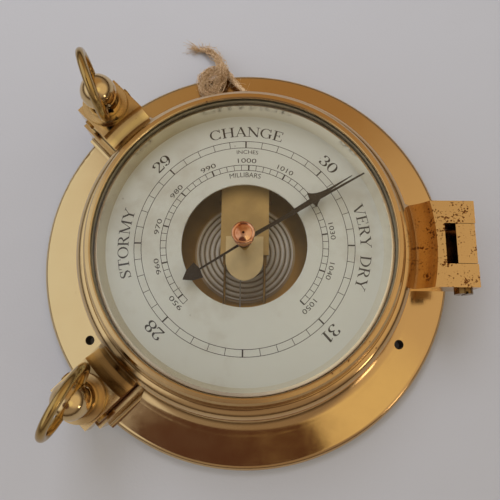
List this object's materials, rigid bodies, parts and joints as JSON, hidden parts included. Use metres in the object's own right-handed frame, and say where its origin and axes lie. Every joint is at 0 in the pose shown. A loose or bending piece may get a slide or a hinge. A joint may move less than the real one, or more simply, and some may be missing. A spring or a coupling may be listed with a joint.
{
  "type": "porthole barometer",
  "caption": "Wall-mounted aneroid barometer in a round brass case with a hinged glazed window, two ring dogs, a set hand and an open-centre dial over its movement.",
  "frame": {"origin": "centre of the back mounting face, on the axis of the dial", "axes": "+Z out of the wall towards the reader, +Y towards 12 o'clock, +X towards 3 o'clock and the hinge"},
  "size_m": [0.1805, 0.1976, 0.0663],
  "materials": {
    "aged_brass": "polished",
    "inner_brass": "satin",
    "ring_brass": "polished",
    "rubber": "matt",
    "steel": "satin",
    "silvered_dial": "matt",
    "nickel": "satin",
    "bronze": "satin",
    "tan_bronze": "satin",
    "pale_bronze": "satin",
    "dark_bronze": "satin",
    "blued_steel": "polished",
    "blackened_steel": "matt",
    "window_glass": "clear",
    "copper": "polished",
    "jute": "frayed"
  },
  "bodies": {
    "base": {"base_flange": "aged_brass", "window_gasket": "rubber", "back_cover": "inner_brass", "back_cover_screws": "steel", "dial_plate": "silvered_dial", "reflector_ring": "silvered_dial", "movement_plate": "inner_brass", "movement_pillars": "inner_brass", "pillar_screws": "steel", "aneroid_capsule": "nickel", "bridge": "bronze", "pointer_cock": "tan_bronze", "cock_screws": "steel", "bearing_plate": "pale_bronze", "rocker_posts": "inner_brass", "twine": "jute"},
    "adjuster": {"adjusting_screw": "steel"},
    "lever": {"main_lever": "tan_bronze"},
    "rocker": {"rocker": "inner_brass"},
    "chain": {"chain": "steel"},
    "pointer": {"pointer_arbor": "inner_brass", "main_pointer": "blued_steel", "hairspring": "blued_steel"},
    "window": {"window_ring": "aged_brass", "glass": "window_glass", "glass_gasket": "rubber", "glass_retainer": "inner_brass", "hinge_pin": "aged_brass", "keeper_pins": "aged_brass", "knob_bush": "dark_bronze"},
    "set_hand": {"set_knob": "copper", "set_hand": "blackened_steel"},
    "dog_seat_upper": {"seat_washer_upper": "aged_brass"},
    "dog_nut_upper": {"ball_nut_upper": "aged_brass"},
    "dog_ring_upper": {"dog_ring_upper": "ring_brass"},
    "dog_seat_lower": {"seat_washer_lower": "aged_brass"},
    "dog_nut_lower": {"ball_nut_lower": "aged_brass"},
    "dog_ring_lower": {"dog_ring_lower": "ring_brass"}
  },
  "joints": [
    {"name": "window_swing", "type": "hinge", "parent": "base", "child": "window", "pos_m": [0.0862, 0, 0.0285], "axis": [0, 1, 0], "range_deg": [0, 150]},
    {"name": "set_hand_turn", "type": "hinge", "parent": "window", "child": "set_hand", "pos_m": [0, 0, 0.04], "axis": [0, 0, 1], "continuous": true},
    {"name": "pointer_turn", "type": "hinge", "parent": "base", "child": "pointer", "pos_m": [0, 0, 0.025], "axis": [0, 0, 1], "range_deg": [-93, 207]},
    {"name": "lever_swing", "type": "hinge", "parent": "base", "child": "lever", "pos_m": [0, 0.0235, 0.0142], "axis": [1, 0, 0], "range_deg": [-2.08, 0.94]},
    {"name": "rocker_swing", "type": "hinge", "parent": "base", "child": "rocker", "pos_m": [0, -0.034, 0.0085], "axis": [1, 0, 0], "range_deg": [-14.6, 32.4]},
    {"name": "chain_draw", "type": "slide", "parent": "base", "child": "chain", "axis": [0, 1, 0], "range_m": [-0.00543, 0.00244]},
    {"name": "adjusting_screw_turn", "type": "hinge", "parent": "base", "child": "adjuster", "pos_m": [0, 0.031, 0.004], "axis": [0, 0, 1], "range_deg": [-720, 720]},
    {"name": "dog_upper_lift", "type": "slide", "parent": "window", "child": "dog_seat_upper", "axis": [0, 0, 1], "range_m": [0, 0.005]},
    {"name": "dog_upper_turn", "type": "hinge", "parent": "dog_seat_upper", "child": "dog_nut_upper", "pos_m": [-0.06025, 0.06025, 0.0312], "axis": [0, 0, 1], "range_deg": [0, 1810]},
    {"name": "ring_upper_swing", "type": "hinge", "parent": "dog_nut_upper", "child": "dog_ring_upper", "pos_m": [-0.06025, 0.06025, 0.04], "axis": [-0.3106, 0.8805, 0.3581], "range_deg": [-85, 85]},
    {"name": "dog_lower_lift", "type": "slide", "parent": "window", "child": "dog_seat_lower", "axis": [0, 0, 1], "range_m": [0, 0.005]},
    {"name": "dog_lower_turn", "type": "hinge", "parent": "dog_seat_lower", "child": "dog_nut_lower", "pos_m": [-0.06025, -0.06025, 0.0312], "axis": [0, 0, 1], "range_deg": [0, 1810]},
    {"name": "ring_lower_swing", "type": "hinge", "parent": "dog_nut_lower", "child": "dog_ring_lower", "pos_m": [-0.06025, -0.06025, 0.04], "axis": [-0.4364, -0.8916, 0.1208], "range_deg": [-85, 85]}
  ],
  "couplings": [
    {"joint": "lever_swing", "follows": "pointer_turn", "ratio": -0.01},
    {"joint": "rocker_swing", "follows": "pointer_turn", "ratio": 0.156},
    {"joint": "chain_draw", "follows": "pointer_turn", "m_per_rad": -0.0015},
    {"joint": "dog_upper_turn", "follows": "dog_upper_lift", "rad_per_m": 6283.2},
    {"joint": "dog_lower_turn", "follows": "dog_lower_lift", "rad_per_m": 6283.2}
  ]
}
